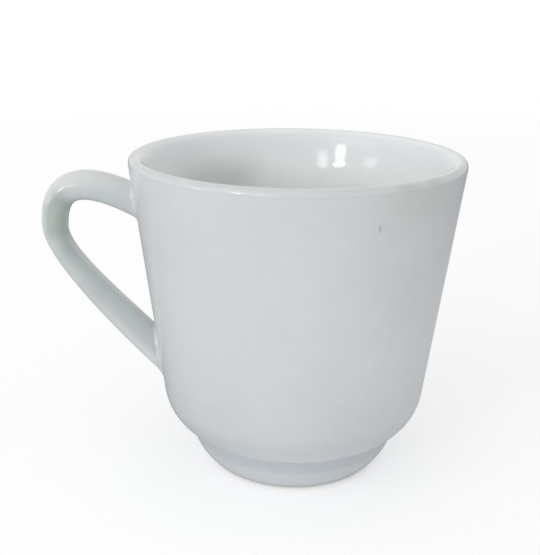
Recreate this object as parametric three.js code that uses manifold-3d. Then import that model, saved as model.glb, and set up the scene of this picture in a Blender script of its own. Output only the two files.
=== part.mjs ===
// A white porcelain mug: a cup formed in one piece with its stepped foot, and a handle cast by itself
// and stuck to the cup's wall with slip at two joints. Millimetres, +Z up. The mug stands on z = 0 and
// its handle points along -X. The origin is on the table, under the middle of the mug's overall length.

import * as THREE from "three";
import { mergeVertices } from "three/addons/utils/BufferGeometryUtils.js";
import Module from "manifold-3d";

// Driving dimensions: cup, outside
const mugHeight = 83;
const rimDiameter = 85;
const wallDraft = THREE.MathUtils.degToRad(7.1);
const shoulderRadius = 13.2;
const shoulderOverhang = 5.1; // how far the wall's line stands out past the end of the shoulder
const footHeight = 10.8;
const footLedge = 0.5; // step in from the end of the shoulder to the top of the foot
const footTopLean = THREE.MathUtils.degToRad(7.5); // of the foot's side at its top, from upright
const footSideRadius = 16.6; // the side bulges on this radius
const footEdgeRadius = 2.6;

// Driving dimensions: cup, inside and underneath
const lipThickness = 3.3;
const lowerWallThickness = 4.2; // at the height of the foot's top
const floorThickness = 4.5;
const bowlRadius = 19; // from the inner wall to the floor
const standingRingWidth = 3.2;
const recessDepth = 3; // of the underside, inside the standing ring
const recessDraft = THREE.MathUtils.degToRad(40);

// Driving dimensions: handle
const upperJointDrop = 13; // from the top of the lip to the middle of the upper joint
const lowerJointHeight = 28.3; // from the table to the middle of the lower joint
const upperArmRise = THREE.MathUtils.degToRad(26.5); // above level, going out from the wall
const lowerArmRise = THREE.MathUtils.degToRad(45); // above level, going out from the wall
const bendStandoff = 22.7; // from the wall to the handle's middle line at its outermost point
const bendDrop = 7; // from the upper joint down to the outermost point
const upperArmPull = 11.5; // how long the middle line keeps its direction: upper arm,
const bendPullUp = 14.7; // above the outermost point,
const bendPullDown = 5.6; // below it,
const lowerArmPull = 28; // and lower arm
const handleWidth = 9;
const upperEndThickness = 8;
const bendThickness = 7.5;
const waistThickness = 5.8;
const lowerEndThickness = 8.5;

// Driving dimensions: slip joints
const slipFilm = 0.6; // between the wall and the handle's end
const slipBeadRadius = 2; // of the hollow fillet round the handle's end
const slipBeadEdge = 0.5; // thickness of the bead where it ends on the handle
const fitClearance = 0.3; // between two pieces that touch

// How finely round shapes are divided
const turnSegments = 64;
const arcDivisions = 4;
const armSteps = 14;
const sectionSides = 16;
const beadSteps = 5;
const slideRounds = 4; // to bring a point to its height over the curved wall

// Finishes: the same clear glaze over white porcelain and over the slip, which shows a little greyer
const glazedPorcelain = { color: 0xdfe3e2, roughness: 0.12, metalness: 0 };
const glazedSlip = { color: 0xd9e0dd, roughness: 0.14, metalness: 0 };

const wasm = await Module();
wasm.setup();

// Sizes worked out from the driving dimensions
const rimRadius = rimDiameter / 2;
const lipRadius = lipThickness / 2;
const lipCentreHeight = mugHeight - lipRadius;
const draftSlope = Math.tan(wallDraft);
const wallRadiusAt = (z) => rimRadius - (lipCentreHeight - z) * draftSlope;
const shoulderEndRadius = wallRadiusAt(footHeight) - shoulderOverhang;
const footTopRadius = shoulderEndRadius - footLedge;
const floorHeight = recessDepth + floorThickness;
const wallNormal = new THREE.Vector2(Math.cos(wallDraft), -Math.sin(wallDraft));

// Where a circle touches the wall's line from inside and passes through the end of the shoulder.
function shoulderCentre() {
  const shoulderEnd = new THREE.Vector2(shoulderEndRadius, footHeight);
  const wallPoint = new THREE.Vector2(wallRadiusAt(footHeight), footHeight);
  const depth = shoulderRadius - wallPoint.sub(shoulderEnd).dot(wallNormal);
  const rise = Math.sqrt(shoulderRadius ** 2 - depth ** 2);
  const alongWall = new THREE.Vector2(Math.sin(wallDraft), Math.cos(wallDraft));
  return shoulderEnd.addScaledVector(wallNormal, -depth).addScaledVector(alongWall, rise);
}

// The middle of the circle that the foot's side follows.
function footSideCentre() {
  const outward = new THREE.Vector2(Math.cos(footTopLean), -Math.sin(footTopLean));
  return new THREE.Vector2(footTopRadius, footHeight).addScaledVector(outward, -footSideRadius);
}

// The middle of the rounding that touches the foot's side and the table.
function footEdgeCentre() {
  const side = footSideCentre();
  const apart = footSideRadius - footEdgeRadius;
  const drop = side.y - footEdgeRadius;
  return new THREE.Vector2(side.x + Math.sqrt(apart ** 2 - drop ** 2), footEdgeRadius);
}

// The middle of the rounding between the inner wall and the floor, with the inner wall's own lean.
function bowl() {
  const top = new THREE.Vector2(rimRadius - lipThickness, lipCentreHeight);
  const low = new THREE.Vector2(wallRadiusAt(footHeight) - lowerWallThickness, footHeight);
  const lean = Math.atan2(top.x - low.x, top.y - low.y);
  const z = floorHeight + bowlRadius;
  const wallRadius = low.x + (z - low.y) * Math.tan(lean);
  return { centre: new THREE.Vector2(wallRadius - bowlRadius / Math.cos(lean), z), lean };
}

// The cup's half section, from the middle of the underside round the outside and back to the floor.
function cupOutline() {
  const edge = footEdgeCentre();
  const side = footSideCentre();
  const shoulder = shoulderCentre();
  const { centre: inside, lean } = bowl();
  const ringInner = edge.x - standingRingWidth;
  const recessRadius = ringInner - recessDepth * Math.tan(recessDraft);
  const edgeAngle = Math.atan2(edge.y - side.y, edge.x - side.x);
  const shoulderAngle = Math.atan2(footHeight - shoulder.y, shoulderEndRadius - shoulder.x);
  const outline = new THREE.Path();
  outline.moveTo(0, recessDepth);
  outline.lineTo(recessRadius, recessDepth);
  outline.lineTo(ringInner, 0);
  outline.absarc(edge.x, edge.y, footEdgeRadius, -Math.PI / 2, edgeAngle, false);
  outline.absarc(side.x, side.y, footSideRadius, edgeAngle, -footTopLean, false);
  outline.absarc(shoulder.x, shoulder.y, shoulderRadius, shoulderAngle, -wallDraft, false);
  outline.absarc(rimRadius - lipRadius, lipCentreHeight, lipRadius, 0, Math.PI, false);
  outline.absarc(inside.x, inside.y, bowlRadius, -lean, -Math.PI / 2, true);
  outline.lineTo(0, floorHeight);
  return outline;
}

// The cup's outside as a filled shape, swollen by a margin: what the handle's pieces are trimmed with.
function swollenCup(margin) {
  const shoulder = shoulderCentre();
  const swollen = shoulderRadius + margin;
  const top = mugHeight + margin;
  const topRadius = wallRadiusAt(top) + margin / Math.cos(wallDraft);
  const outline = new THREE.Path();
  outline.moveTo(0, shoulder.y - swollen);
  outline.lineTo(shoulder.x, shoulder.y - swollen);
  outline.absarc(shoulder.x, shoulder.y, swollen, -Math.PI / 2, -wallDraft, false);
  outline.lineTo(topRadius, top);
  outline.lineTo(0, top);
  return solidOf(turned(outline));
}

// A half section turned round the upright axis.
function turned(outline) {
  const points = outline.getPoints(arcDivisions);
  return new THREE.LatheGeometry(points, turnSegments).rotateX(Math.PI / 2);
}

// A closed skin over a row of rings with the same number of points, capped at both ends.
function skinOver(rings) {
  const sides = rings[0].length;
  const points = rings.flat();
  const startCap = points.push(middleOf(rings[0])) - 1;
  const endCap = points.push(middleOf(rings.at(-1))) - 1;
  const faces = [];
  for (let side = 0; side < sides; side++) {
    const next = (side + 1) % sides;
    for (let ring = 0; ring < rings.length - 1; ring++) {
      const here = ring * sides;
      const beyond = here + sides;
      faces.push(here + side, here + next, beyond + side);
      faces.push(here + next, beyond + next, beyond + side);
    }
    const last = (rings.length - 1) * sides;
    faces.push(startCap, next, side);
    faces.push(endCap, last + side, last + next);
  }
  return new THREE.BufferGeometry().setFromPoints(points).setIndex(faces);
}

function middleOf(ring) {
  const sum = new THREE.Vector3();
  ring.forEach((point) => sum.add(point));
  return sum.divideScalar(ring.length);
}

function solidOf(geometry) {
  geometry.deleteAttribute("normal");
  geometry.deleteAttribute("uv");
  const merged = mergeVertices(geometry);
  const vertProperties = new Float32Array(merged.attributes.position.array);
  const triVerts = new Uint32Array(merged.index.array);
  return new wasm.Manifold(new wasm.Mesh({ numProp: 3, vertProperties, triVerts }));
}

function geometryOf(solid) {
  const { vertProperties, triVerts } = solid.getMesh();
  const geometry = new THREE.BufferGeometry();
  geometry.setAttribute("position", new THREE.BufferAttribute(vertProperties, 3));
  geometry.setIndex(new THREE.BufferAttribute(triVerts, 1));
  geometry.computeVertexNormals();
  return geometry;
}

// A point in the handle's plane, from its distance to the cup's axis and its height.
const inHandlePlane = (reach, z) => new THREE.Vector3(-reach, 0, z);
const onWall = (z) => inHandlePlane(wallRadiusAt(z), z);
const sideways = new THREE.Vector3(0, 1, 0);
const wallOutward = inHandlePlane(wallNormal.x, wallNormal.y);

// The two places where the handle meets the wall, each with the way the handle leaves it.
const upperJoint = {
  height: mugHeight - upperJointDrop,
  outward: inHandlePlane(Math.cos(upperArmRise), Math.sin(upperArmRise)),
  thickness: upperEndThickness,
};
const lowerJoint = {
  height: lowerJointHeight,
  outward: inHandlePlane(Math.cos(lowerArmRise), Math.sin(lowerArmRise)),
  thickness: lowerEndThickness,
};

const bendHeight = upperJoint.height - bendDrop;
const bendReach = wallRadiusAt(bendHeight) + bendStandoff;

// The handle's middle line: the upper arm out to the bend, then the lower arm back to the wall.
function handleArms() {
  const start = onWall(upperJoint.height);
  const finish = onWall(lowerJoint.height);
  const bend = inHandlePlane(bendReach, bendHeight);
  const upper = new THREE.CubicBezierCurve3(
    start,
    start.clone().addScaledVector(upperJoint.outward, upperArmPull),
    inHandlePlane(bendReach, bendHeight + bendPullUp),
    bend,
  );
  const lower = new THREE.CubicBezierCurve3(
    bend,
    inHandlePlane(bendReach, bendHeight - bendPullDown),
    finish.clone().addScaledVector(lowerJoint.outward, lowerArmPull),
    finish,
  );
  return [upper, lower];
}

// Thickness in the handle's plane, by the share of the way from the upper joint to the lower one.
const thicknessCurve = new THREE.SplineCurve(
  [upperEndThickness, bendThickness, waistThickness, lowerEndThickness].map(
    (thickness, station) => new THREE.Vector2(station / 3, thickness),
  ),
);
const thicknessAt = (share) => thicknessCurve.getPoint(share).y;

// One oval section of the handle, square to the way it runs.
function handleSection(centre, along, thickness, width) {
  const across = new THREE.Vector3().crossVectors(sideways, along).normalize();
  return Array.from({ length: sectionSides }, (_, side) => {
    const angle = (side / sectionSides) * 2 * Math.PI;
    return centre
      .clone()
      .addScaledVector(across, (Math.cos(angle) * thickness) / 2)
      .addScaledVector(sideways, (Math.sin(angle) * width) / 2);
  });
}

// The handle with its surface moved out by a margin, trimmed to stop short of the wall.
function trimmedHandle(margin) {
  const arms = handleArms();
  const width = handleWidth + 2 * margin;
  const rings = [];
  const addRing = (centre, along, share) =>
    rings.push(handleSection(centre, along, thicknessAt(share) + 2 * margin, width));
  const rootLength = lowerWallThickness + handleWidth; // deep enough for the wall to trim it all round
  const intoWall = (joint) => onWall(joint.height).addScaledVector(joint.outward, -rootLength);
  addRing(intoWall(upperJoint), upperJoint.outward, 0);
  arms.forEach((arm, armIndex) => {
    for (let step = armIndex; step <= armSteps; step++) {
      const t = step / armSteps;
      addRing(arm.getPoint(t), arm.getTangent(t), (armIndex + t) / arms.length);
    }
  });
  addRing(intoWall(lowerJoint), lowerJoint.outward.clone().negate(), 1);
  const seat = slipFilm + 2 * fitClearance - margin;
  return solidOf(skinOver(rings)).subtract(swollenCup(seat));
}

// How far a point stands off the cup's straight wall.
const wallDistance = (point) =>
  (Math.hypot(point.x, point.y) - wallRadiusAt(point.z)) * Math.cos(wallDraft);

// A bell round the handle's end: oval sections that lie along the wall and flare out towards it.
function slipBell(joint) {
  const centre = onWall(joint.height);
  const steepness = joint.outward.dot(wallOutward);
  const slideToWall = (point, height) => {
    for (let round = 0; round < slideRounds; round++) {
      point.addScaledVector(joint.outward, (height - wallDistance(point)) / steepness);
    }
    return point;
  };
  const ringAt = (height) => {
    const hollow = slipBeadRadius - Math.max(height, 0);
    const flare = slipBeadRadius - Math.sqrt(slipBeadRadius ** 2 - hollow ** 2);
    const thickness = joint.thickness + 2 * (slipBeadEdge + flare * steepness);
    const width = handleWidth + 2 * (slipBeadEdge + flare);
    const section = handleSection(centre, joint.outward, thickness, width);
    return section.map((point) => slideToWall(point, height));
  };
  const heights = Array.from({ length: beadSteps + 1 }, (_, step) => (step / beadSteps) * slipBeadRadius);
  const intoWall = -lowerWallThickness / 2;
  return solidOf(skinOver([intoWall, ...heights].map(ringAt)));
}

// The slip left between the wall and the handle's end, with the bead that it was smoothed into.
function slipJoint(joint) {
  return slipBell(joint).subtract(swollenCup(fitClearance)).subtract(trimmedHandle(fitClearance));
}

function piece(name, geometry, finish) {
  const mesh = new THREE.Mesh(geometry, new THREE.MeshStandardMaterial(finish));
  mesh.name = name;
  return mesh;
}

// The pieces are made round the cup's axis, which then moves aside to put the origin under the middle.
const handleReach = bendReach + thicknessAt(0.5) / 2;
const aroundCupAxis = new THREE.Group();
aroundCupAxis.position.x = (handleReach - rimRadius) / 2;
aroundCupAxis.add(
  piece("cup_body", turned(cupOutline()), glazedPorcelain),
  piece("handle", geometryOf(trimmedHandle(0)), glazedPorcelain),
  piece("upper_slip_joint", geometryOf(slipJoint(upperJoint)), glazedSlip),
  piece("lower_slip_joint", geometryOf(slipJoint(lowerJoint)), glazedSlip),
);

const mug = new THREE.Group();
mug.add(aroundCupAxis);

export default mug;
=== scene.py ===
import math

import bmesh
import bpy
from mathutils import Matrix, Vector, noise


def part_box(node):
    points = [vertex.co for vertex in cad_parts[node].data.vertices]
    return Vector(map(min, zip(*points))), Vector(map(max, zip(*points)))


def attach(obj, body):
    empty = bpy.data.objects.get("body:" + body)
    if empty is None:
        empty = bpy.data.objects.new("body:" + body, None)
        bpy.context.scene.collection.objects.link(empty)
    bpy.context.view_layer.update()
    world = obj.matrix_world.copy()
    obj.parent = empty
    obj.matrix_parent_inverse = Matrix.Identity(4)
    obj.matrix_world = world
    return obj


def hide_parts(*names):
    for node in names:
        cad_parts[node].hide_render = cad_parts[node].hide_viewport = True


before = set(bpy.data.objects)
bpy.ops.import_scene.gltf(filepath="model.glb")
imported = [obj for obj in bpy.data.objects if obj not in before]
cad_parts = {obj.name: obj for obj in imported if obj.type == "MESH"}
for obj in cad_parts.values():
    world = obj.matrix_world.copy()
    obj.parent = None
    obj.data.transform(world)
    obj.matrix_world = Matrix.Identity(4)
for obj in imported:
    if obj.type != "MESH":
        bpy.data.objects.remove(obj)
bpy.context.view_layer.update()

cupLow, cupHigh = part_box("cup_body")
# every piece is shaped round x = y = 0 and then moved to the cup's axis
cupAxis = Vector(((cupLow.x + cupHigh.x) / 2, 0, 0))

# Cup: one formed piece with its foot
cup = {
    "rimRadius": (cupHigh.x - cupLow.x) / 2,
    "height": cupHigh.z - 0.00001,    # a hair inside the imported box
    "wallDraft": math.radians(7.1),
    "lipOuter": 0.0016,             # the lip's rounding outside and inside
    "lipInner": 0.0015,
    "slopeLean": math.radians(45),  # lower down inside, wider arcs go on from these leans
    "slopeRadius": 0.006,
    "flareLean": math.radians(14.5),
    "flareRadius": 0.095,
    "shoulderRadius": 0.0132,
    "shoulderOverhang": 0.0051,     # the wall's line past the end of the shoulder
    "footHeight": 0.0108,
    "footLedge": 0.0005,            # step in from the shoulder to the foot
    "footTopLean": math.radians(7.5),
    "footSideRadius": 0.0166,       # the foot's side bulges on this radius
    "footEdge": 0.0026,
    "floorThickness": 0.0045,
    "bowlRadius": 0.019,
    "ringWidth": 0.0032,
    "recessDepth": 0.003,
    "recessDraft": math.radians(40),
    "shoulderSoftening": 0.0004,    # glaze rounds the end of the shoulder and the ledge under it
    "ledgeSoftening": 0.00025,
    "ringSoftening": 0.0006,
    "recessSoftening": 0.002,
    "bareHeight": 0.00045,          # glaze stops this far above the ground
    "arcSteps": 18,
    "wallSteps": 14,
    "recessSteps": 4,
    "ringSteps": 3,
    "floorSteps": 6,
    "turnSteps": 240,
}
lipHeight = cup["height"] - cup["lipOuter"]


def wallRadius(z):
    return cup["rimRadius"] - (lipHeight - z) * math.tan(cup["wallDraft"])


def inPlane(reach, z):
    return Vector((reach, 0, z))


# the wall's facing and its line upwards, and the shoulder's circle, which touches the wall
wallFacing = inPlane(math.cos(cup["wallDraft"]), -math.sin(cup["wallDraft"]))
upWall = inPlane(math.sin(cup["wallDraft"]), math.cos(cup["wallDraft"]))
shoulderEnd = inPlane(wallRadius(cup["footHeight"]) - cup["shoulderOverhang"], cup["footHeight"])
shoulderDepth = cup["shoulderRadius"] - cup["shoulderOverhang"] * math.cos(cup["wallDraft"])
shoulderRise = math.sqrt(cup["shoulderRadius"] ** 2 - shoulderDepth ** 2)
shoulder = shoulderEnd - wallFacing * shoulderDepth + upWall * shoulderRise


def fromShoulder(point):
    return inPlane(math.hypot(point.x, point.y), point.z) - shoulder


# how far a point stands out from the wall, or from the shoulder below it
def wallDistance(point):
    away = fromShoulder(point)
    if away.dot(upWall) < 0:
        return away.length - cup["shoulderRadius"]
    return away.dot(wallFacing) - cup["shoulderRadius"]


def wallNormal(point):
    away = fromShoulder(point)
    facing = away.normalized() if away.dot(upWall) < 0 else wallFacing
    level = Vector((point.x, point.y, 0)).normalized()
    return level * facing.x + Vector((0, 0, facing.z))


def lineTo(bm, tip, target, steps=1):
    start = tip.co.copy()
    for step in range(1, steps + 1):
        tip = bmesh.ops.extrude_vert_indiv(bm, verts=[tip])["verts"][0]
        tip.co = start.lerp(target, step / steps)
    return tip


def arcTo(bm, tip, centre, sweep, steps):
    # anticlockwise in the x-z plane is a turn about -y
    turned = bmesh.ops.spin(bm, geom=[tip], cent=centre, axis=(0, -1, 0), angle=sweep, steps=steps)
    return [part for part in turned["geom_last"] if isinstance(part, bmesh.types.BMVert)][0]


# the centre of a wider arc that goes on where an arc facing inwards has this lean
def arcCentreAfter(centre, radius, lean, nextRadius):
    return centre + inPlane(-math.cos(lean), math.sin(lean)) * (radius - nextRadius)


def soften(bm, corner, size, segments=6):
    bmesh.ops.bevel(
        bm,
        geom=[corner],
        offset=size,
        offset_type="OFFSET",
        affect="VERTICES",
        segments=segments,
        profile=0.5,
        material=-1,
    )


# length along the profile from the middle of the underside, kept on each vertex for the glaze
def measureRun(bm, vert, marks):
    layer = bm.verts.layers.float["run"]
    nearest = {name: (math.inf, 0) for name in marks}
    run, edge = 0, None
    while vert:
        vert[layer] = run
        for name, place in marks.items():
            nearest[name] = min(nearest[name], ((vert.co - place).length, run))
        edge = next((link for link in vert.link_edges if link is not edge), None)
        run += edge.calc_length() if edge else 0
        vert = edge.other_vert(vert) if edge else None
    return {name: found[1] for name, found in nearest.items()}


def drawCupProfile(bm):
    bm.verts.layers.float.new("run")
    draft, steps = cup["wallDraft"], cup["arcSteps"]
    footTop = shoulderEnd - inPlane(cup["footLedge"], 0)
    shoulderAngle = math.atan2(shoulderEnd.z - shoulder.z, shoulderEnd.x - shoulder.x)

    # the foot's side is an arc, and the rounding at its edge touches that arc and the ground
    lean = cup["footTopLean"]
    side = footTop - inPlane(math.cos(lean), -math.sin(lean)) * cup["footSideRadius"]
    apart = cup["footSideRadius"] - cup["footEdge"]
    edgeDrop = side.z - cup["footEdge"]
    edge = inPlane(side.x + math.sqrt(apart ** 2 - edgeDrop ** 2), cup["footEdge"])
    edgeAngle = math.asin(edgeDrop / apart)
    ringInner = edge.x - cup["ringWidth"]
    recessRadius = ringInner - cup["recessDepth"] * math.tan(cup["recessDraft"])

    lipTop = inPlane(cup["rimRadius"] - cup["lipOuter"], cup["height"])
    lipOut = lipTop - inPlane(0, cup["lipOuter"])
    lipIn = lipTop - inPlane(0, cup["lipInner"])
    wallTop = lipOut + wallFacing * cup["lipOuter"]

    # inside, each arc runs on from the one above it, and the last into the straight wall
    slope = arcCentreAfter(lipIn, cup["lipInner"], cup["slopeLean"], cup["slopeRadius"])
    flare = arcCentreAfter(slope, cup["slopeRadius"], cup["flareLean"], cup["flareRadius"])
    flareEnd = flare - wallFacing * cup["flareRadius"]
    thickness = wallRadius(flareEnd.z) - flareEnd.x

    floorHeight = cup["recessDepth"] + cup["floorThickness"]
    bowlHeight = floorHeight + cup["bowlRadius"]
    bowlReach = wallRadius(bowlHeight) - thickness
    bowl = inPlane(bowlReach - cup["bowlRadius"] / math.cos(draft), bowlHeight)
    bowlStart = bowl + wallFacing * cup["bowlRadius"]

    first = tip = bm.verts.new(inPlane(0, cup["recessDepth"]))
    recessCorner = tip = lineTo(bm, tip, inPlane(recessRadius, cup["recessDepth"]), cup["recessSteps"])
    ringCorner = tip = lineTo(bm, tip, inPlane(ringInner, 0), cup["ringSteps"])
    tip = lineTo(bm, tip, inPlane(edge.x, 0), cup["ringSteps"])
    tip = arcTo(bm, tip, edge, math.pi / 2 - edgeAngle, steps)
    ledgeInner = tip = arcTo(bm, tip, side, edgeAngle - lean, steps)
    ledgeOuter = tip = lineTo(bm, tip, shoulderEnd)
    tip = arcTo(bm, tip, shoulder, -draft - shoulderAngle, steps)
    tip = lineTo(bm, tip, wallTop, cup["wallSteps"])
    tip = arcTo(bm, tip, lipOut, math.pi / 2 + draft, steps // 2)
    tip = arcTo(bm, tip, lipIn, math.pi / 2 - cup["slopeLean"], steps // 3)
    tip = arcTo(bm, tip, slope, cup["slopeLean"] - cup["flareLean"], steps // 2)
    tip = arcTo(bm, tip, flare, cup["flareLean"] - draft, steps)
    tip = lineTo(bm, tip, bowlStart, cup["wallSteps"])
    tip = arcTo(bm, tip, bowl, draft - math.pi / 2, steps)
    lineTo(bm, tip, inPlane(0, floorHeight), cup["floorSteps"])

    soften(bm, recessCorner, cup["recessSoftening"])
    soften(bm, ringCorner, cup["ringSoftening"])
    soften(bm, ledgeInner, cup["ledgeSoftening"])
    soften(bm, ledgeOuter, cup["shoulderSoftening"])
    return measureRun(bm, first, {"crease": shoulderEnd, "lip": lipTop, "bowl": bowlStart})


mergeDistance = 1e-6


def finishMesh(bm, name, materials):
    bmesh.ops.remove_doubles(bm, verts=bm.verts, dist=mergeDistance)
    bmesh.ops.recalc_face_normals(bm, faces=bm.faces)
    bmesh.ops.translate(bm, verts=bm.verts, vec=cupAxis)
    for face in bm.faces:
        face.smooth = True
    mesh = bpy.data.meshes.new(name)
    bm.to_mesh(mesh)
    bm.free()
    for material in materials:
        mesh.materials.append(material)
    piece = bpy.data.objects.new(name, mesh)
    bpy.context.collection.objects.link(piece)
    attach(piece, "root")
    return piece


def makeCup():
    bm = bmesh.new()
    runs = drawCupProfile(bm)
    profile = list(bm.verts) + list(bm.edges)
    bmesh.ops.spin(
        bm,
        geom=profile,
        cent=(0, 0, 0),
        axis=(0, 0, 1),
        angle=2 * math.pi,
        steps=cup["turnSteps"],
        use_merge=True,
    )
    for face in bm.faces:
        if face.calc_center_median().z < cup["bareHeight"]:
            face.material_index = 1
    piece = finishMesh(bm, "porcelain_cup", [makeCupGlaze(runs), makeBiscuit()])
    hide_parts("cup_body")
    return piece


# Handle: cast by itself, an oval bar along two curves
handle = {
    "upperHeight": cup["height"] - 0.013,   # middle of each joint
    "lowerHeight": 0.0283,
    "upperRise": math.radians(26.5),        # above level, going out from the wall
    "lowerRise": math.radians(45),
    "bendStandoff": 0.0227,                 # middle line's furthest point from the wall
    "bendDrop": 0.007,
    "pulls": (0.0115, 0.0147, 0.0056, 0.028),       # upper joint, above and below the bend, lower joint
    "thickness": (0.0079, 0.0073, 0.0057, 0.0082),  # at even stations, upper joint to lower joint
    "width": 0.009,
    "squareness": 2.25,                     # 2 is a true oval
    "rootReach": 0.045,                     # length of one whole share past either end
    "armRings": 56,
    "rootShare": 0.22,                      # how far both ends go on past their joints
    "sides": 72,
    "sunk": 0.0009,                         # depth of the trimmed ends under the wall's face
}


def leaving(rise):
    return Vector((-math.cos(rise), 0, math.sin(rise)))


def handleArms():
    start = inPlane(-wallRadius(handle["upperHeight"]), handle["upperHeight"])
    finish = inPlane(-wallRadius(handle["lowerHeight"]), handle["lowerHeight"])
    bendHeight = handle["upperHeight"] - handle["bendDrop"]
    bend = inPlane(-wallRadius(bendHeight) - handle["bendStandoff"], bendHeight)
    startPull, bendUp, bendDown, finishPull = handle["pulls"]
    up = Vector((0, 0, 1))
    upper = (start, start + leaving(handle["upperRise"]) * startPull, bend + up * bendUp, bend)
    lower = (bend, bend - up * bendDown, finish + leaving(handle["lowerRise"]) * finishPull, finish)
    return upper, lower


arms = handleArms()


def armPoint(arm, t):
    a, b, c, d = arm
    s = 1 - t
    return a * s ** 3 + b * (3 * s * s * t) + c * (3 * s * t * t) + d * t ** 3


def armDirection(arm, t):
    a, b, c, d = arm
    s = 1 - t
    return ((b - a) * (s * s) + (c - b) * (2 * s * t) + (d - c) * (t * t)).normalized()


# the handle's middle line: share 0 at the upper joint, 1 at the lower one, straight on past both
def middleLine(share):
    if share < 0:
        way = leaving(handle["upperRise"])
        return arms[0][0] + way * (share * handle["rootReach"]), way
    if share > 1:
        way = -leaving(handle["lowerRise"])
        return arms[1][3] + way * ((share - 1) * handle["rootReach"]), way
    arm, t = (arms[0], share * 2) if share < 0.5 else (arms[1], share * 2 - 1)
    return armPoint(arm, t), armDirection(arm, t)


def thicknessAt(share):
    stations = handle["thickness"]
    place = min(max(share, 0), 1) * (len(stations) - 1)
    index = min(int(place), len(stations) - 2)
    t = place - index
    before, here = stations[max(index - 1, 0)], stations[index]
    after, beyond = stations[index + 1], stations[min(index + 2, len(stations) - 1)]
    slopeIn, slopeOut = (after - before) / 2, (beyond - here) / 2
    cubic = 2 * (here - after) + slopeIn + slopeOut
    square = 3 * (after - here) - 2 * slopeIn - slopeOut
    return ((cubic * t + square) * t + slopeIn) * t + here


def onHandle(share, turn):
    centre, way = middleLine(share)
    across = Vector((0, 1, 0)).cross(way)
    power = 2 / handle["squareness"]
    flat = math.copysign(abs(math.cos(turn)) ** power, math.cos(turn)) * thicknessAt(share) / 2
    side = math.copysign(abs(math.sin(turn)) ** power, math.sin(turn)) * handle["width"] / 2
    return centre + across * flat + Vector((0, side, 0))


# a tube of rings: the first is a circle, each next one is extruded from the last and put in place
def loft(bm, rings):
    sides = len(rings[0])
    bm.verts.layers.float.new("along")      # 0 on the first ring, 1 on the last
    station = bm.verts.layers.int.new("station")
    along = bm.verts.layers.float["along"]  # fetched after the last layer is made
    verts = bmesh.ops.create_circle(bm, cap_ends=False, radius=1, segments=sides)["verts"]
    for index, vert in enumerate(verts):
        vert[station] = index
        vert.co = rings[0][index]
    edges = list(bm.edges)
    for place, ring in enumerate(rings[1:], 1):
        made = bmesh.ops.extrude_edge_only(bm, edges=edges)["geom"]
        edges = [part for part in made if isinstance(part, bmesh.types.BMEdge)]
        verts = [part for part in made if isinstance(part, bmesh.types.BMVert)]
        edges = [edge for edge in edges if edge.verts[0] in verts and edge.verts[1] in verts]
        for vert in verts:
            vert.co = ring[vert[station]]
            vert[along] = place / (len(rings) - 1)


def turns(count):
    return [2 * math.pi * index / count for index in range(count)]


# 1 along the inside of the loop, 0 along the outside
def markFingerSide(bm, sides):
    fingerSide = bm.verts.layers.float.new("fingerSide")
    station = bm.verts.layers.int["station"]
    for vert in bm.verts:
        vert[fingerSide] = 0.5 - 0.5 * math.cos(2 * math.pi * vert[station] / sides)


def makeHandle():
    bm = bmesh.new()
    count = 2 * handle["armRings"]
    root = handle["rootShare"]
    shares = [-root] + [index / count for index in range(count + 1)] + [1 + root]
    loft(bm, [[onHandle(share, turn) for turn in turns(handle["sides"])] for share in shares])
    markFingerSide(bm, handle["sides"])
    wallFace = inPlane(-wallRadius(handle["lowerHeight"]), handle["lowerHeight"])
    outward = wallNormal(wallFace)
    bmesh.ops.bisect_plane(
        bm,
        geom=list(bm.verts) + list(bm.edges) + list(bm.faces),
        plane_co=wallFace - outward * handle["sunk"],
        plane_no=outward,
        clear_inner=True,
    )
    openEdges = [edge for edge in bm.edges if edge.is_boundary]
    bmesh.ops.holes_fill(bm, edges=openEdges, sides=0)
    piece = finishMesh(bm, "porcelain_handle", [makeHandleGlaze()])
    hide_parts("handle")
    return piece


# Slip joints: a lumpy fillet of slip round each end of the handle
slip = {
    "upper": {
        "node": "upper_slip_joint",
        "deepShare": -0.2,      # the handle's shares between which it meets the wall
        "clearShare": 0.4,
        "outerSize": 0.0013,    # the bead's size on the loop's outside and on its finger side
        "fingerSize": 0.0021,
        "lump": 0.14,
        "seed": 3.1,
    },
    "lower": {
        "node": "lower_slip_joint",
        "deepShare": 1.2,
        "clearShare": 0.6,
        "outerSize": 0.0024,
        "fingerSize": 0.0016,
        "lump": 0.5,
        "seed": 7.7,
    },
    "feather": 0.00009,      # the bead runs out just under the faces of the handle and the wall
    "hidden": 0.0008,        # and its back is buried this deep
    "lumpScale": 2.3,
    "searchSteps": 40,
    "sides": 96,
    "rings": 12,
}


def handleAtHeight(joint, turn, height):
    deep, clear = joint["deepShare"], joint["clearShare"]
    for _ in range(slip["searchSteps"]):
        middle = (deep + clear) / 2
        if wallDistance(onHandle(middle, turn)) < height:
            deep = middle
        else:
            clear = middle
    return onHandle(clear, turn)


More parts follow.
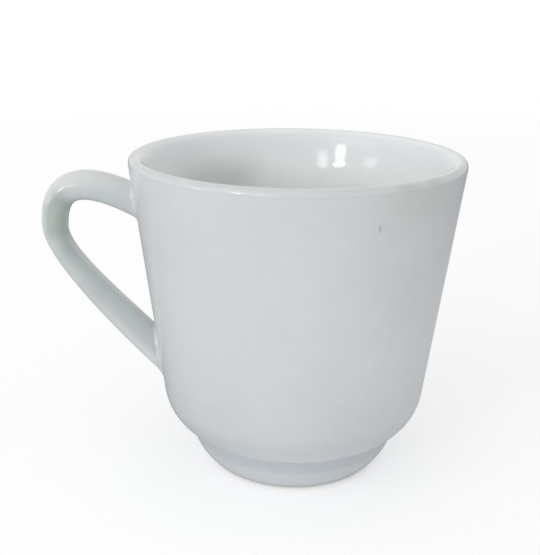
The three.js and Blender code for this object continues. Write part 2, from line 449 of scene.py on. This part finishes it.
def makeSlipJoint(joint, material):
    around = turns(slip["sides"])
    meeting = [handleAtHeight(joint, turn, 0) for turn in around]
    centre = sum(meeting, Vector()) / len(meeting)
    onHandleEdge, onWallEdge, buried = [], [], []
    for turn, corner in zip(around, meeting):
        place = Vector((math.cos(turn), math.sin(turn), joint["seed"])) * slip["lumpScale"]
        fingerSide = 0.5 - 0.5 * math.cos(turn)
        size = joint["outerSize"] + (joint["fingerSize"] - joint["outerSize"]) * fingerSide
        size *= 1 + joint["lump"] * noise.noise(place)
        normal = wallNormal(corner)
        outwards = corner - centre
        outwards = (outwards - normal * outwards.dot(normal)).normalized()
        top = handleAtHeight(joint, turn, size)
        onHandleEdge.append(top - outwards * slip["feather"])
        foot = corner + outwards * size
        onWallEdge.append(foot - wallNormal(foot) * (wallDistance(foot) + slip["feather"]))
        buried.append(corner - normal * slip["hidden"] - outwards * slip["hidden"])
    rings = [buried]
    for index in range(slip["rings"] + 1):
        t = index / slip["rings"]
        edges = zip(onHandleEdge, meeting, onWallEdge)
        rings.append([a * (1 - t) ** 2 + b * (2 * t * (1 - t)) + c * t ** 2 for a, b, c in edges])
    bm = bmesh.new()
    loft(bm, rings + [buried])
    piece = finishMesh(bm, joint["node"] + "_bead", [material])
    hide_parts(joint["node"])
    return piece


# Finishes: short ways to make and join nodes
def addNode(tree, kind, **settings):
    node = tree.nodes.new("ShaderNode" + kind)
    for name, value in settings.items():
        setattr(node, name, value)
    return node


def feed(tree, socket, value):
    if isinstance(value, bpy.types.NodeSocket):
        tree.links.new(value, socket)
    else:
        socket.default_value = value


def maths(tree, operation, *values):
    node = addNode(tree, "Math", operation=operation)
    for socket, value in zip(node.inputs, values):
        feed(tree, socket, value)
    return node.outputs["Value"]


def times(tree, first, *others):
    product = first
    for value in others:
        product = maths(tree, "MULTIPLY", product, value)
    return product


def vectorMaths(tree, operation, *values, output="Vector"):
    node = addNode(tree, "VectorMath", operation=operation)
    for socket, value in zip(node.inputs, values):
        feed(tree, socket, value)
    return node.outputs[output]


def lengthOf(tree, vector):
    return vectorMaths(tree, "LENGTH", vector, output="Value")


def partOf(tree, vector, axis):
    node = addNode(tree, "SeparateXYZ")
    feed(tree, node.inputs["Vector"], vector)
    return node.outputs[axis]


# 0 at the first value, 1 at the second, smooth between them
def fade(tree, value, first, second):
    node = addNode(tree, "MapRange", interpolation_type="SMOOTHSTEP")
    feed(tree, node.inputs["Value"], value)
    feed(tree, node.inputs["From Min"], first)
    feed(tree, node.inputs["From Max"], second)
    return node.outputs["Result"]


# 1 in the middle, 0 from this far away on
def band(tree, value, middle, width):
    away = maths(tree, "ABSOLUTE", maths(tree, "SUBTRACT", value, middle))
    return fade(tree, away, width, 0)


# a soft round spot: 1 in its core, 0 at its half sizes
def spot(tree, place, centre, halfSizes, core=0.25):
    scaled = vectorMaths(tree, "DIVIDE", vectorMaths(tree, "SUBTRACT", place, centre), halfSizes)
    return fade(tree, lengthOf(tree, scaled), 1, core)


def mixColour(tree, share, first, second):
    node = addNode(tree, "Mix", data_type="RGBA")
    feed(tree, node.inputs["Factor"], share)
    feed(tree, node.inputs["A"], first)
    feed(tree, node.inputs["B"], second)
    return node.outputs["Result"]


def cloud(tree, place, size, detail=2):
    node = addNode(tree, "TexNoise")
    feed(tree, node.inputs["Vector"], place)
    node.inputs["Scale"].default_value = 1 / size
    node.inputs["Detail"].default_value = detail
    return node.outputs["Fac"]


def attribute(tree, name):
    return addNode(tree, "Attribute", attribute_name=name).outputs["Fac"]


def newGroup(name, inputs, outputs):
    tree = bpy.data.node_groups.new(name, "ShaderNodeTree")
    for side, sockets in (("INPUT", inputs), ("OUTPUT", outputs)):
        for socketName, kind in sockets.items():
            tree.interface.new_socket(socketName, in_out=side, socket_type="NodeSocket" + kind)
    return tree, tree.nodes.new("NodeGroupInput").outputs, tree.nodes.new("NodeGroupOutput").inputs


def useGroup(tree, group, **values):
    node = addNode(tree, "Group", node_tree=group)
    for name, value in values.items():
        feed(tree, node.inputs[name], value)
    return node.outputs[0]


# Glaze effects that more than one finish uses
glaze = {
    "broadSize": 0.024,             # clouds of thicker glaze: size, reach in the pattern and share
    "broadReach": (0.32, 0.72),
    "broadShare": 0.16,
    "fineSize": 0.0032,
    "fineReach": (0.3, 0.75),
    "fineShare": 0.07,
    "speckedCells": 0.3,            # share of the pattern's cells that have a speck
    "leastSpeck": 0.4,              # the smallest speck, as a share of the size asked for
    "waveSize": 0.015,
    "peelSize": 0.0016,
    "smearSize": 0.02,              # dulled by handling in broad smears and small rubs
    "smearReach": (0.45, 0.7),
    "smearShare": 0.65,
    "rubSize": 0.0025,
    "rubReach": (0.5, 0.75),
    "rubShare": 0.35,
}


# body colour clouded with a little of the pooled colour, and all of it where the pooling share is 1;
# that share carries pooled glaze and painted shade
def makeGlazeTone():
    tree, given, result = newGroup(
        "glazeTone",
        {"Place": "Vector", "Body": "Color", "Pooled": "Color", "Pooling": "Float"},
        {"Colour": "Color"},
    )
    broad = fade(tree, cloud(tree, given["Place"], glaze["broadSize"]), *glaze["broadReach"])
    fine = fade(tree, cloud(tree, given["Place"], glaze["fineSize"], detail=3), *glaze["fineReach"])
    broad, fine = times(tree, broad, glaze["broadShare"]), times(tree, fine, glaze["fineShare"])
    clouds = maths(tree, "ADD", broad, fine)
    share = maths(tree, "MINIMUM", maths(tree, "ADD", clouds, given["Pooling"]), 1)
    feed(tree, result["Colour"], mixColour(tree, share, given["Body"], given["Pooled"]))
    return tree


# iron specks under the glaze: a few cells of a scattered pattern have one
def makeGlazeSpecks():
    tree, given, result = newGroup(
        "glazeSpecks", {"Place": "Vector", "Spacing": "Float", "Size": "Float"}, {"Mask": "Float"}
    )
    cells = addNode(tree, "TexVoronoi")
    feed(tree, cells.inputs["Vector"], given["Place"])
    feed(tree, cells.inputs["Scale"], maths(tree, "DIVIDE", 1, given["Spacing"]))
    away = times(tree, cells.outputs["Distance"], given["Spacing"])
    channels = addNode(tree, "SeparateColor")
    feed(tree, channels.inputs["Color"], cells.outputs["Color"])
    chosen = maths(tree, "LESS_THAN", channels.outputs["Red"], glaze["speckedCells"])
    size = times(tree, given["Size"], maths(tree, "ADD", channels.outputs["Green"], glaze["leastSpeck"]))
    feed(tree, result["Mask"], times(tree, fade(tree, away, size, 0), chosen))
    return tree


# how the glaze lay when it cooled, in millimetres: slow waves and fine orange peel
def makeGlazeSkin():
    tree, given, result = newGroup(
        "glazeSkin", {"Place": "Vector", "Waves": "Float", "Peel": "Float"}, {"Height": "Float"}
    )
    waves = times(tree, cloud(tree, given["Place"], glaze["waveSize"], detail=1), given["Waves"])
    peel = times(tree, cloud(tree, given["Place"], glaze["peelSize"], detail=1), given["Peel"])
    feed(tree, result["Height"], maths(tree, "ADD", waves, peel))
    return tree


# gloss dulled here and there by washing and handling
def makeHandledGloss():
    tree, given, result = newGroup(
        "handledGloss", {"Place": "Vector", "Clean": "Float", "Dulled": "Float"}, {"Roughness": "Float"}
    )
    smears = fade(tree, cloud(tree, given["Place"], glaze["smearSize"], detail=4), *glaze["smearReach"])
    rubs = fade(tree, cloud(tree, given["Place"], glaze["rubSize"], detail=4), *glaze["rubReach"])
    smears, rubs = times(tree, smears, glaze["smearShare"]), times(tree, rubs, glaze["rubShare"])
    span = maths(tree, "SUBTRACT", given["Dulled"], given["Clean"])
    dulling = times(tree, maths(tree, "ADD", smears, rubs), span)
    feed(tree, result["Roughness"], maths(tree, "ADD", given["Clean"], dulling))
    return tree


glazeTone, glazeSpecks = makeGlazeTone(), makeGlazeSpecks()
glazeSkin, handledGloss = makeGlazeSkin(), makeHandledGloss()
print("glaze effects made")


def specks(tree, place, finish):
    return useGroup(
        tree, glazeSpecks, Place=place, Spacing=finish["speckSpacing"], Size=finish["speckSize"]
    )


def skin(tree, place, finish):
    return useGroup(tree, glazeSkin, Place=place, Waves=finish["waves"], Peel=finish["peel"])


def gloss(tree, place, finish):
    return useGroup(tree, handledGloss, Place=place, Clean=finish["clean"], Dulled=finish["dulled"])


# a material with its shader, and places measured from the cup's axis
def startMaterial(name):
    material = bpy.data.materials.new(name)
    material.use_nodes = True
    tree = material.node_tree
    mapping = addNode(tree, "Mapping")
    mapping.inputs["Location"].default_value = -cupAxis
    feed(tree, mapping.inputs["Vector"], addNode(tree, "TexCoord").outputs["Object"])
    return material, tree, tree.nodes["Principled BSDF"], mapping.outputs["Vector"]


def roundness(tree, place):         # distance from the cup's axis
    return lengthOf(tree, vectorMaths(tree, "MULTIPLY", place, (1, 1, 0)))


def bump(tree, shader, height):     # height in millimetres
    node = addNode(tree, "Bump")
    node.inputs["Strength"].default_value = 1
    node.inputs["Distance"].default_value = 0.001
    feed(tree, node.inputs["Height"], height)
    feed(tree, shader.inputs["Normal"], node.outputs["Normal"])


cupFinish = {
    "body": (0.842, 0.866, 0.878, 1),
    "pooledAndShade": (0.628, 0.672, 0.697, 1),
    "creaseShade": (0.0075, 0.0018, 0.0003),     # painted shade under the crease: none, full, and none above it
    "bowlShare": 0.1,                           # glaze pools a little in the bend of the bowl
    "lowWallReach": (0.045, 0.01),              # darker lower down the outside wall, between these heights
    "lowWallShare": 0.45,
    "lipTurn": 0.001,                           # the outside ends over this run before the lip's top
    # painted light: the inside is paler than the outside
    "inside": (0.868, 0.891, 0.893, 1),
    "insideShare": 0.8,
    "deepInside": (0.925, 0.945, 0.942, 1),     # painted light: paler further down, between these heights
    "deepReach": (0.079, 0.069),
    "insideShade": (0.62, 0.68, 0.655, 1),          # painted shade inside on this side
    "shadeWay": (-0.669, 0.743, 0),
    "shadeReach": (0.0312, 0.0368),
    "shadeHeights": (0.079, 0.069),
    "pale": (0.95, 0.97, 0.985, 1),             # paler where the glaze lies thin on the lip's top, and as painted light under the shoulder
    "paintedLightOnShoulder": (0.0095, 0.0004, 0.0002),   # painted light above the crease: none, full, and none below it
    # painted light: the foot paler lower down, as if lit from the floor
    "foot": (0.852, 0.878, 0.906, 1),
    "footLightReach": (0.0035, 0.01),                # below the crease
    "lipTop": (0.0009, 0.002),                  # the lip's top is paler, and painted shade darkens its outer rounding:
    "lipEdge": (-0.0012, 0.0022),               # middle, counted from the lip's top, and reach
    "lipShade": (0.74, 0.765, 0.77, 1),
    "leastLipShade": 0.7,                           # this share all along the rounding, and 1 in patches
    "patchSize": 0.007,
    "patchReach": (0.35, 0.65),
    "greenShadeUnderLip": (0.76, 0.812, 0.755, 1),       # painted shade, greenish, under the lip
    "greenPlace": (0.0276, -0.0318, 0.0795),
    "greenSize": (0.0135, 0.0165, 0.0085),
    "greenShare": 0.65,
    "greenerByJoint": (0.765, 0.845, 0.825, 1),      # darker and greener on the wall beside the handle's lower joint
    "jointPlace": (-0.0328, -0.0176, 0.04),
    "jointSize": (0.0045, 0.0055, 0.009),
    "jointShare": 0.7,
    "wornLip": (0.62, 0.63, 0.585, 1),
    "wornPlace": (0.0283, -0.0317, 0.0812),
    "wornSize": (0.013, 0.013, 0.0035),
    "wornShare": 0.7,
    "wornRoughness": 0.2,
    "speck": (0.20, 0.21, 0.23, 1),
    "speckSpacing": 0.012,
    "speckSize": 0.00032,
    "speckShare": 0.32,
    "dashPlace": (0.01814, -0.03732, 0.07364),  # one long speck on the wall
    "dashSize": (0.0005, 0.0005, 0.0014),
    "darkAtGround": (0.36, 0.34, 0.31, 1),             # darker where the foot meets the ground
    "darkAtGroundReach": (0.0009, 0.0003),
    "darkAtGroundShare": 0.7,
    "clean": 0.055,
    "dulled": 0.15,
    "waves": 0.05,                              # heights in millimetres
    "peel": 0.0022,
    "insideReach": (0.004, 0.012),              # past the lip, where these begin
    "rings": 0.0042,                            # spacing of the forming rings inside, and their height
    "ringHeight": 0.0012,
    "insideWave": 0.0065,                       # and of the glaze's runs there
    "insideWaveHeight": 0.1,
}


# where things lie on the cup, as values over its surface
def placesOnCup(tree, place, runs):
    run = attribute(tree, "run")
    pastLip = maths(tree, "SUBTRACT", run, runs["lip"])
    lip = band(tree, pastLip, *cupFinish["lipEdge"])
    patchy = fade(tree, cloud(tree, place, cupFinish["patchSize"], detail=3), *cupFinish["patchReach"])
    worn = spot(tree, place, cupFinish["wornPlace"], cupFinish["wornSize"])
    return {
        "place": place,
        "height": partOf(tree, place, "Z"),
        "run": run,
        "belowCrease": maths(tree, "SUBTRACT", runs["crease"], run),
        "pastBowl": maths(tree, "SUBTRACT", run, runs["bowl"]),
        "pastLip": pastLip,
        "outside": fade(tree, pastLip, 0, -cupFinish["lipTurn"]),
        "lip": lip,
        "patchy": patchy,
        "worn": times(tree, worn, lip, patchy, cupFinish["wornShare"]),
    }


def tintPools(tree, on):
    # painted shade under the crease, where the shoulder overhangs the foot
    none, full, above = cupFinish["creaseShade"]
    crease = times(
        tree, fade(tree, on["belowCrease"], none, full), fade(tree, on["belowCrease"], -above, 0)
    )
    bowl = band(tree, on["pastBowl"], cup["bowlRadius"], cup["bowlRadius"])
    lowWall = times(tree, fade(tree, on["height"], *cupFinish["lowWallReach"]), on["outside"])
    poolingAndShade = maths(tree, "MAXIMUM", crease, times(tree, bowl, cupFinish["bowlShare"]))
    poolingAndShade = maths(tree, "MAXIMUM", poolingAndShade, times(tree, lowWall, cupFinish["lowWallShare"]))
    return useGroup(
        tree,
        glazeTone,
        Place=on["place"],
        Body=cupFinish["body"],
        Pooled=cupFinish["pooledAndShade"],
        Pooling=poolingAndShade,
    )


# painted light inside, paler further down, and painted shade down one side
def tintInside(tree, on, colour):
    within = times(tree, maths(tree, "SUBTRACT", 1, on["outside"]), cupFinish["insideShare"])
    colour = mixColour(tree, within, colour, cupFinish["inside"])
    deep = times(tree, fade(tree, on["height"], *cupFinish["deepReach"]), within)
    colour = mixColour(tree, deep, colour, cupFinish["deepInside"])
    # painted shade down one side of the inside wall
    side = vectorMaths(tree, "DOT_PRODUCT", on["place"], cupFinish["shadeWay"], output="Value")
    insideShade = fade(tree, side, *cupFinish["shadeReach"])
    insideShade = times(tree, insideShade, fade(tree, on["height"], *cupFinish["shadeHeights"]), within)
    return mixColour(tree, insideShade, colour, cupFinish["insideShade"])


def paintLightOnFoot(tree, on, colour):
    # painted light on the shoulder's underside, as if lit from the floor
    none, full, below = cupFinish["paintedLightOnShoulder"]
    paintedShading = times(
        tree, fade(tree, on["belowCrease"], -none, -full), fade(tree, on["belowCrease"], below, 0)
    )
    colour = mixColour(tree, paintedShading, colour, cupFinish["pale"])
    # painted light: the foot paler further below the crease
    foot = fade(tree, on["belowCrease"], *cupFinish["footLightReach"])
    return mixColour(tree, foot, colour, cupFinish["foot"])


def tintLip(tree, on, colour):
    colour = mixColour(tree, band(tree, on["pastLip"], *cupFinish["lipTop"]), colour, cupFinish["pale"])
    # painted shade on the lip's outer rounding, which faces up into the light
    least = cupFinish["leastLipShade"]
    paintedShading = times(tree, on["lip"], maths(tree, "MULTIPLY_ADD", on["patchy"], 1 - least, least))
    return mixColour(tree, paintedShading, colour, cupFinish["lipShade"])


def tintMarksAndShade(tree, on, colour):
    # greenish painted shade under the lip
    green = spot(tree, on["place"], cupFinish["greenPlace"], cupFinish["greenSize"])
    green = times(tree, green, on["outside"], cupFinish["greenShare"])
    colour = mixColour(tree, green, colour, cupFinish["greenShadeUnderLip"])
    byJoint = spot(tree, on["place"], cupFinish["jointPlace"], cupFinish["jointSize"])
    byJoint = times(tree, byJoint, cupFinish["jointShare"])
    colour = mixColour(tree, byJoint, colour, cupFinish["greenerByJoint"])
    colour = mixColour(tree, on["worn"], colour, cupFinish["wornLip"])
    dash = spot(tree, on["place"], cupFinish["dashPlace"], cupFinish["dashSize"])
    specked = maths(tree, "MAXIMUM", specks(tree, on["place"], cupFinish), dash)
    colour = mixColour(tree, times(tree, specked, cupFinish["speckShare"]), colour, cupFinish["speck"])
    darkAtGround = times(tree, fade(tree, on["height"], *cupFinish["darkAtGroundReach"]), cupFinish["darkAtGroundShare"])
    return mixColour(tree, darkAtGround, colour, cupFinish["darkAtGround"])


# inside, faint forming rings and runs lie under the glaze's own waves
def cupHeights(tree, on):
    inside = fade(tree, on["pastLip"], *cupFinish["insideReach"])
    rings = maths(tree, "SINE", times(tree, on["run"], 2 * math.pi / cupFinish["rings"]))
    rings = times(tree, rings, inside, cupFinish["ringHeight"])
    pulled = cloud(tree, on["place"], cupFinish["insideWave"], detail=1)
    pulled = times(tree, pulled, inside, cupFinish["insideWaveHeight"])
    return maths(tree, "ADD", maths(tree, "ADD", skin(tree, on["place"], cupFinish), rings), pulled)


def makeCupGlaze(runs):
    material, tree, shader, place = startMaterial("cupGlaze")
    on = placesOnCup(tree, place, runs)
    colour = tintPools(tree, on)
    for tint in (tintInside, paintLightOnFoot, tintLip, tintMarksAndShade):
        colour = tint(tree, on, colour)
    feed(tree, shader.inputs["Base Color"], colour)
    rough = times(tree, on["worn"], cupFinish["wornRoughness"])
    feed(tree, shader.inputs["Roughness"], maths(tree, "ADD", gloss(tree, place, cupFinish), rough))
    bump(tree, shader, cupHeights(tree, on))
    return material


biscuitFinish = {
    "pale": (0.73, 0.705, 0.66, 1),
    "stained": (0.55, 0.515, 0.46, 1),
    "stainSize": 0.0025,
    "stainReach": (0.35, 0.75),
    "grainSize": 0.0004,
    "grainHeight": 0.03,        # in millimetres
    "roughness": (0.6, 0.85),
}


def makeBiscuit():
    material, tree, shader, place = startMaterial("bareBiscuit")
    stains = cloud(tree, place, biscuitFinish["stainSize"], detail=5)
    stains = fade(tree, stains, *biscuitFinish["stainReach"])
    colour = mixColour(tree, stains, biscuitFinish["pale"], biscuitFinish["stained"])
    feed(tree, shader.inputs["Base Color"], colour)
    grain = cloud(tree, place, biscuitFinish["grainSize"], detail=3)
    smooth, rough = biscuitFinish["roughness"]
    feed(tree, shader.inputs["Roughness"], maths(tree, "MULTIPLY_ADD", grain, rough - smooth, smooth))
    bump(tree, shader, times(tree, grain, biscuitFinish["grainHeight"]))
    return material


# a patch has limits round the bar, from 0 on the loop's outside to 1 on its finger side,
# and limits along it, from 0 at the upper end to 1 at the lower
handleFinish = {
    "body": (0.893, 0.916, 0.914, 1),
    "pooledAndShade": (0.44, 0.52, 0.495, 1),
    "leastShare": 0.08,                 # glaze pools this much everywhere, and these patches add darker glaze and painted shade
    "poolAndShadePatches": {
        "upperFlanks": {"round": (band, 0.4, 0.5), "along": (fade, 0.5, 0.34), "share": 0.19},
        "bend": {
            "round": (fade, 0.06, 0.52),
            "along": (band, 0.445, 0.185),
            "boost": 1.45,
            "share": 0.58,
        },
        "lowerFlanks": {"round": (band, 0.72, 0.62), "along": (fade, 0.5, 0.66), "share": 0.42},
        "pastBend": {"round": (fade, 0.35, 0.95), "along": (band, 0.6, 0.16), "share": 0.2},
    },
    "tints": {
        "shadedGreenBend": {"round": (fade, 0.36, 0.74), "along": (band, 0.47, 0.13), "share": 0.55},
        "paleJointSide": {"round": (fade, 0.6, 0.15), "along": (fade, 0.8, 0.96), "share": 0.9},
    },
    # the glaze's green, darkened as painted shade on the bend's finger side
    "shadedGreenBend": (0.56, 0.62, 0.505, 1),
    "paleJointSide": (0.93, 0.945, 0.95, 1),   # paler on the loop's outside near the lower joint
    "jointReach": (0.0045, 0.0005),     # glaze also pools this near the wall
    "jointShare": 0.1,
    "speck": (0.22, 0.22, 0.22, 1),
    "speckSpacing": 0.009,
    "speckSize": 0.00026,
    "speckShare": 0.5,
    "clean": 0.15,
    "dulled": 0.24,
    "waves": 0.05,
    "peel": 0.003,
}


def wallGap(tree, place):           # distance out from the cup's wall
    height = partOf(tree, place, "Z")
    wall = maths(tree, "MULTIPLY_ADD", height, math.tan(cup["wallDraft"]), wallRadius(0))
    return maths(tree, "SUBTRACT", roundness(tree, place), wall)


def onPatch(tree, fingerSide, along, patch):
    shapeRound, *limitsRound = patch["round"]
    shapeAlong, *limitsAlong = patch["along"]
    mask = times(tree, shapeRound(tree, fingerSide, *limitsRound), shapeAlong(tree, along, *limitsAlong))
    if "boost" in patch:
        mask = maths(tree, "MINIMUM", times(tree, mask, patch["boost"]), 1)
    return times(tree, mask, patch["share"])


def makeHandleGlaze():
    material, tree, shader, place = startMaterial("handleGlaze")
    fingerSide, along = attribute(tree, "fingerSide"), attribute(tree, "along")
    poolingAndShade = handleFinish["leastShare"]
    # darker glaze and painted shade on the handle's flanks and bend
    for patch in handleFinish["poolAndShadePatches"].values():
        poolingAndShade = maths(tree, "ADD", onPatch(tree, fingerSide, along, patch), poolingAndShade)
    joint = fade(tree, wallGap(tree, place), *handleFinish["jointReach"])
    poolingAndShade = maths(tree, "MAXIMUM", poolingAndShade, times(tree, joint, handleFinish["jointShare"]))
    colour = useGroup(
        tree,
        glazeTone,
        Place=place,
        Body=handleFinish["body"],
        Pooled=handleFinish["pooledAndShade"],
        Pooling=poolingAndShade,
    )
    # painted shade in the glaze's green on the bend, and a paler patch near the lower joint
    for name, patch in handleFinish["tints"].items():
        colour = mixColour(tree, onPatch(tree, fingerSide, along, patch), colour, handleFinish[name])
    specked = times(tree, specks(tree, place, handleFinish), handleFinish["speckShare"])
    colour = mixColour(tree, specked, colour, handleFinish["speck"])
    feed(tree, shader.inputs["Base Color"], colour)
    feed(tree, shader.inputs["Roughness"], gloss(tree, place, handleFinish))
    bump(tree, shader, skin(tree, place, handleFinish))
    return material


slipFinish = {
    "body": (0.815, 0.85, 0.845, 1),
    "bodyReach": (0.15, 0.9),           # along the bead, from its own colour to the wall's
    "pooledAndShade": (0.60, 0.68, 0.67, 1),
    "hollowSize": 0.0035,
    "hollowReach": (0.55, 0.35),
    "hollowShare": 0.25,
    "seamShade": (0.1, 0.12),                # painted shade in the crease along the handle's edge: middle and reach
    "seamShadeShare": 0.5,
    "pit": (0.30, 0.33, 0.32, 1),
    "speckSpacing": 0.0028,             # of the pits
    "speckSize": 0.0003,
    "pitShare": 0.6,
    "pitDepth": 0.05,                   # in millimetres
    "lumpSize": 0.003,
    "lumpHeight": 0.06,
    "clean": 0.16,
    "dulled": 0.3,
    "waves": 0.03,
    "peel": 0.006,
}


def makeSlipGlaze():
    material, tree, shader, place = startMaterial("slipGlaze")
    along = attribute(tree, "along")
    hollows = cloud(tree, place, slipFinish["hollowSize"], detail=3)
    hollows = times(tree, fade(tree, hollows, *slipFinish["hollowReach"]), slipFinish["hollowShare"])
    # painted shade in the crease where the bead meets the handle
    seamShade = times(tree, band(tree, along, *slipFinish["seamShade"]), slipFinish["seamShadeShare"])
    toWall = fade(tree, along, *slipFinish["bodyReach"])
    colour = useGroup(
        tree,
        glazeTone,
        Place=place,
        Body=mixColour(tree, toWall, slipFinish["body"], cupFinish["body"]),
        Pooled=slipFinish["pooledAndShade"],
        Pooling=maths(tree, "MAXIMUM", hollows, seamShade),
    )
    pits = specks(tree, place, slipFinish)
    colour = mixColour(tree, times(tree, pits, slipFinish["pitShare"]), colour, slipFinish["pit"])
    feed(tree, shader.inputs["Base Color"], colour)
    feed(tree, shader.inputs["Roughness"], gloss(tree, place, slipFinish))
    lumps = times(tree, cloud(tree, place, slipFinish["lumpSize"]), slipFinish["lumpHeight"])
    lumps = maths(tree, "ADD", skin(tree, place, slipFinish), lumps)
    bump(tree, shader, maths(tree, "SUBTRACT", lumps, times(tree, pits, slipFinish["pitDepth"])))
    return material


slipGlaze = makeSlipGlaze()
pieces = [makeCup(), makeHandle()]
pieces += [makeSlipJoint(slip["upper"], slipGlaze), makeSlipJoint(slip["lower"], slipGlaze)]
print("pieces made:", [(piece.name, len(piece.data.polygons)) for piece in pieces])

# Camera: where the photograph was taken from, measured from the cup's axis
view = {
    "place": Vector((0, -0.22481, 0.12402)),
    "aim": Vector((-0.006627, 0, 0.0498)),
    "roll": math.radians(0.5925),
    "lensPixels": 894.58,
    "imageHeight": 555,
    "sensor": 36,
    "clipStart": 0.01,
}


def makeCamera():
    data = bpy.data.cameras.new("photoCamera")
    data.sensor_width = view["sensor"]
    data.lens = view["lensPixels"] * view["sensor"] / view["imageHeight"]
    data.clip_start = view["clipStart"]
    camera = bpy.data.objects.new("photoCamera", data)
    bpy.context.collection.objects.link(camera)
    camera.location = cupAxis + view["place"]
    facing = (view["aim"] - view["place"]).to_track_quat("-Z", "Y").to_matrix().to_4x4()
    camera.rotation_euler = facing.to_euler()
    camera.rotation_euler.rotate_axis("Z", view["roll"])
    bpy.context.scene.camera = camera


makeCamera()


# Floor: pale paper, which the camera sees paler than the light it throws back on the mug
paper = {
    "seen": (0.9, 0.9, 0.9, 1),
    "thrown": (0.785, 0.795, 0.815, 1),
    "thrownRight": (0.34, 0.345, 0.37, 1),      # and less from both sides
    "rightReach": (0.055, 0.23),
    "thrownLeft": (0.45, 0.465, 0.485, 1),
    "leftReach": (0.012, -0.058),
    "glow": 0.33,           # near the mug, and this much more far away
    "farGlow": 0.25,
    "farReach": (0.4, 2),
    "fibreSize": 0.004,
    "fibre": 0.04,          # how much of the fibres' grey shows
    "fibreTone": (0.5, 0.5, 0.5, 1),
    "roughness": 0.8,
    "radius": 40,
    "segments": 96,
}


def makePaper():
    material, tree, shader, place = startMaterial("palePaper")
    seen = addNode(tree, "LightPath").outputs["Is Camera Ray"]
    across = partOf(tree, place, "X")
    right = fade(tree, across, *paper["rightReach"])
    left = fade(tree, across, *paper["leftReach"])
    thrown = mixColour(tree, right, paper["thrown"], paper["thrownRight"])
    thrown = mixColour(tree, left, thrown, paper["thrownLeft"])
    tone = mixColour(tree, seen, thrown, paper["seen"])
    fibres = times(tree, cloud(tree, place, paper["fibreSize"], detail=5), paper["fibre"])
    feed(tree, shader.inputs["Base Color"], mixColour(tree, fibres, tone, paper["fibreTone"]))
    shader.inputs["Roughness"].default_value = paper["roughness"]
    shader.inputs["Emission Color"].default_value = (1, 1, 1, 1)
    far = fade(tree, roundness(tree, place), *paper["farReach"])
    glow = maths(tree, "MULTIPLY_ADD", far, paper["farGlow"], paper["glow"])
    feed(tree, shader.inputs["Emission Strength"], times(tree, seen, glow))
    return material


def makeFloor():
    bm = bmesh.new()
    bmesh.ops.create_circle(bm, cap_ends=True, radius=paper["radius"], segments=paper["segments"])
    mesh = bpy.data.meshes.new("paleFloor")
    bm.to_mesh(mesh)
    bm.free()
    mesh.materials.append(makePaper())
    floor = bpy.data.objects.new("paleFloor", mesh)
    bpy.context.collection.objects.link(floor)


makeFloor()

# Light: an even pale room, and soft boxes in front on the left
room = {
    "brightness": 0.89,     # at eye level
    "overhead": 0.62,       # and this share of it straight above
    "backdrop": 1,          # what the camera sees past the floor
    "distance": 2.5,
    "aimHeight": 0.045,
}
# turn from the camera's side and rise, both in degrees
softBoxes = {
    "leftBox": {"turn": -36.8, "rise": 16.2, "width": 0.29, "height": 0.15, "radiance": 24},
    "sillBox": {"turn": -36, "rise": 11.5, "width": 0.42, "height": 0.1, "radiance": 22},
    "nearBox": {"turn": -21.5, "rise": 11.5, "width": 0.33, "height": 0.46, "radiance": 5.2},
    "wideBox": {"turn": -64.5, "rise": 6, "width": 0.52, "height": 0.6, "radiance": 3},
    "highBox": {"turn": -50, "rise": 32, "width": 1.5, "height": 1.3, "radiance": 0.8},
}


def towards(turn, rise):
    turn, rise = math.radians(turn), math.radians(rise)
    return Vector((math.sin(turn) * math.cos(rise), -math.cos(turn) * math.cos(rise), math.sin(rise)))


def makeSoftBox(name, box):
    data = bpy.data.lights.new(name, "AREA")
    data.shape = "RECTANGLE"
    data.size, data.size_y = box["width"], box["height"]
    data.energy = math.pi * box["width"] * box["height"] * box["radiance"]
    light = bpy.data.objects.new(name, data)
    bpy.context.collection.objects.link(light)
    way = towards(box["turn"], box["rise"])
    light.location = cupAxis + Vector((0, 0, room["aimHeight"])) + way * room["distance"]
    light.rotation_euler = (-way).to_track_quat("-Z", "Y").to_euler()


def makeRoom():
    world = bpy.data.worlds.new("paleRoom")
    world.use_nodes = True
    tree = world.node_tree
    height = partOf(tree, addNode(tree, "TexCoord").outputs["Generated"], "Z")
    thrown = maths(tree, "MULTIPLY_ADD", maths(tree, "MAXIMUM", height, 0), room["overhead"] - 1, 1)
    thrown = times(tree, thrown, room["brightness"])
    seen = addNode(tree, "LightPath").outputs["Is Camera Ray"]
    backdrop = (room["backdrop"],) * 3 + (1,)
    feed(tree, tree.nodes["Background"].inputs["Color"], mixColour(tree, seen, thrown, backdrop))
    bpy.context.scene.world = world


for boxName, boxSettings in softBoxes.items():
    makeSoftBox(boxName, boxSettings)
makeRoom()
bpy.context.scene.view_settings.view_transform = "Standard"
print("camera, floor and lights placed")
